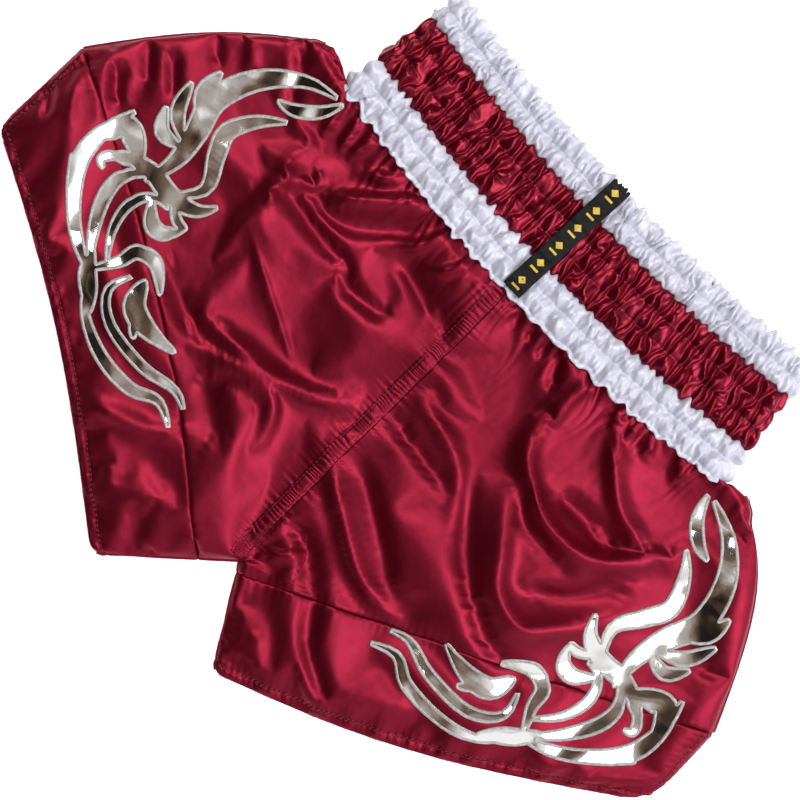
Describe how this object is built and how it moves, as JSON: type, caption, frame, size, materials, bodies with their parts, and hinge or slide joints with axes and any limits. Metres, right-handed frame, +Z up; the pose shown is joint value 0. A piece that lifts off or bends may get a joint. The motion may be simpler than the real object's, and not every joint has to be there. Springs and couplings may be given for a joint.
{
  "type": "boxing shorts",
  "caption": "Satin kick-boxing shorts lying flat, with a gathered elastic waistband, open side slits and mirror-foil flame applique on both legs.",
  "frame": {"origin": "middle of the footprint of the shorts, on the surface they lie on", "axes": "+X along the waist from the wearer's right to the wearer's left, +Y from the hems to the waist, +Z up out of the front face"},
  "size_m": [0.583, 0.4048, 0.0159],
  "materials": {
    "satin": "glossy polyester satin",
    "white_satin": "glossy polyester satin, gathered",
    "elastic": "woven elastic",
    "lining": "plain woven, matte",
    "white_thread": "thread",
    "thread": "thread",
    "label": "woven ribbon",
    "label_figures": "woven figure",
    "label_thread": "thread",
    "foil": "metallised film, mirror bright",
    "foil_border": "metallic satin stitch"
  },
  "bodies": {
    "root": {"front_panel_right": "satin", "front_panel_left": "satin", "back_panel_right": "satin", "back_panel_left": "satin", "crotch_gusset": "satin", "hem_band_front_right": "satin", "hem_band_front_left": "satin", "hem_band_back_right": "satin", "hem_band_back_left": "satin", "side_seam_right": "satin", "side_seam_left": "satin", "inseam_right": "satin", "inseam_left": "satin", "centre_seam_front": "satin", "centre_seam_back": "satin", "waist_casing_lower": "white_satin", "waist_casing_middle": "satin", "waist_casing_upper": "white_satin", "elastic_1": "elastic", "elastic_2": "elastic", "elastic_3": "elastic", "elastic_4": "elastic", "elastic_5": "elastic", "elastic_6": "elastic", "elastic_7": "elastic", "waist_lining": "lining", "row_stitching": "white_thread", "label": "label", "label_figures": "label_figures", "label_stitching": "label_thread", "foil_right": "foil", "foil_left": "foil", "foil_border_right": "foil_border", "foil_border_left": "foil_border", "hem_stitching_right": "thread", "hem_stitching_left": "thread", "centre_seam_stitching": "thread"}
  },
  "joints": []
}
